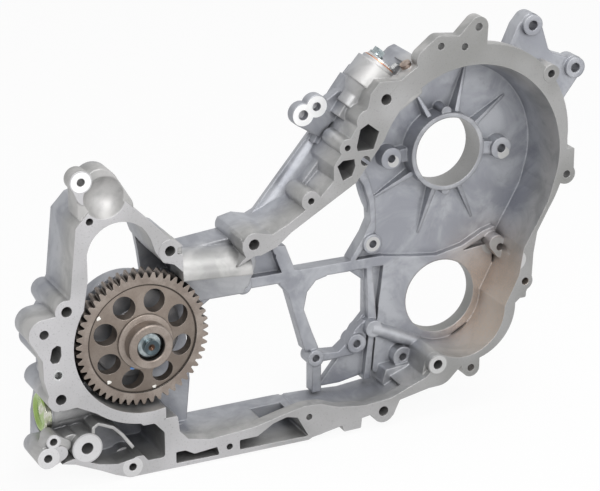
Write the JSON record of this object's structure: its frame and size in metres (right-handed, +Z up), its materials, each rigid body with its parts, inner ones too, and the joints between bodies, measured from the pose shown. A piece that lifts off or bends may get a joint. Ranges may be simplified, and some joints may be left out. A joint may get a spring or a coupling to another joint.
{
  "type": "engine oil pump",
  "caption": "Cast timing gear case with a built-in rotor oil pump, helical drive gear, relief valve and capped oil gallery.",
  "frame": {"origin": "centre of the upper bore on the rear block face", "axes": "+X along the case's length away from the pump gear, +Y towards the engine block, +Z up"},
  "size_m": [0.513, 0.0656, 0.3452],
  "materials": {
    "cast_aluminium": "die cast, machined joint faces",
    "gear_steel": "dark phosphated",
    "zinc_blue": "blue zinc plated",
    "ground_steel": "ground",
    "bearing_bronze": "plain bush",
    "sinter_steel": "sintered, ground faces",
    "zinc_yellow": "yellow-green chromate",
    "copper": "annealed copper",
    "spring_steel": "bright"
  },
  "bodies": {
    "case": {"gear_case": "cast_aluminium", "thrust_washer": "bearing_bronze", "front_bush": "bearing_bronze", "rear_bush": "bearing_bronze", "pump_cover": "cast_aluminium", "pump_cover_screws": "zinc_blue", "relief_valve_spring": "spring_steel", "relief_valve_plug": "zinc_yellow", "relief_plug_washer": "cast_aluminium", "copper_gasket": "copper", "gallery_cap": "ground_steel", "spring_clip": "spring_steel", "cap_bolt": "zinc_blue", "locating_dowel": "ground_steel", "sealing_plug": "copper"},
    "drive": {"pump_drive_gear": "gear_steel", "drive_gear_bolt": "zinc_blue", "pump_shaft": "ground_steel", "shaft_key": "ground_steel", "inner_rotor": "sinter_steel"},
    "outer_rotor": {"outer_rotor": "sinter_steel"},
    "relief_piston": {"relief_valve_piston": "ground_steel"}
  },
  "joints": [
    {"name": "drive_spin", "type": "hinge", "parent": "case", "child": "drive", "pos_m": [-0.2825, -0.039, -0.1089], "axis": [0, 1, 0], "continuous": true},
    {"name": "outer_rotor_spin", "type": "hinge", "parent": "case", "child": "outer_rotor", "pos_m": [-0.2857, -0.014, -0.1089], "axis": [0, 1, 0], "continuous": true},
    {"name": "relief_slide", "type": "slide", "parent": "case", "child": "relief_piston", "axis": [-1, 0, 0], "range_m": [0, 0.007], "stiffness_N_per_m": 8000, "springref_m": -0.0096, "deforming": ["relief_valve_spring"]}
  ],
  "couplings": [
    {"joint": "outer_rotor_spin", "follows": "drive_spin", "ratio": 0.85714}
  ]
}
